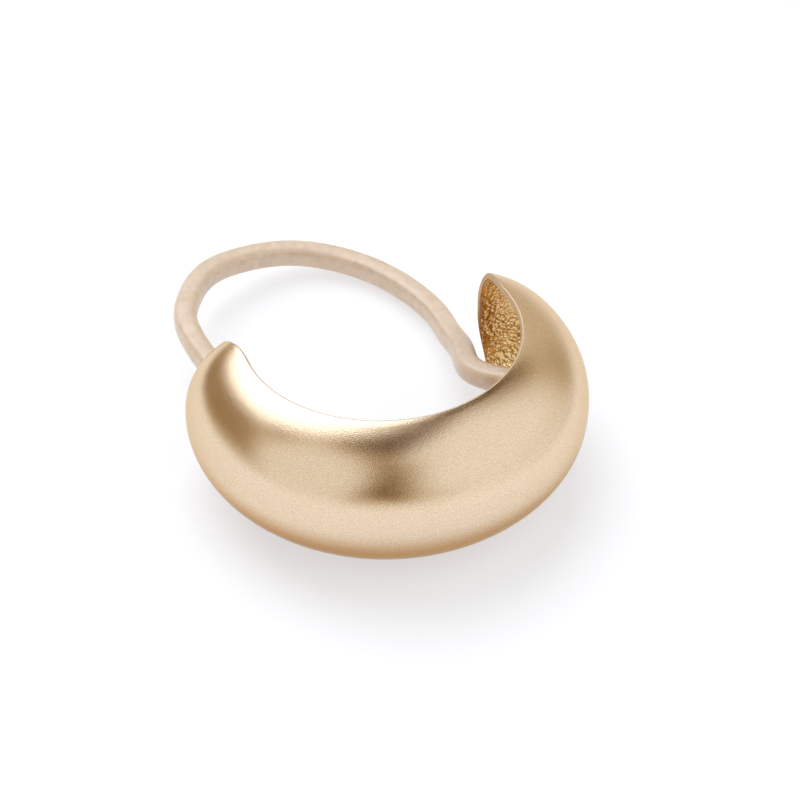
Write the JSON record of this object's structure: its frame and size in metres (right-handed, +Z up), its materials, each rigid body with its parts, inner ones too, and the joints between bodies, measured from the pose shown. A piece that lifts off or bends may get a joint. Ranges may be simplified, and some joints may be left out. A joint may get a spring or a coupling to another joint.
{
  "type": "ponytail cuff",
  "caption": "Domed C-shaped metal hair cuff, hollow on its inner side, with a covered elastic cord that closes it behind a ponytail.",
  "frame": {"origin": "middle of the hair hole, on the plane that the cuff lies on", "axes": "+Z up along the hair hole, -Y towards the front of the dome, +X to the right arm"},
  "size_m": [0.0532, 0.0694, 0.0219],
  "materials": {
    "satin_gold": "satin pale gold outside, rough as-cast gold inside",
    "nude_elastic": "fine woven satin sheath"
  },
  "bodies": {
    "root": {"cuff_shell": "satin_gold", "elastic_loop": "nude_elastic"}
  },
  "joints": []
}
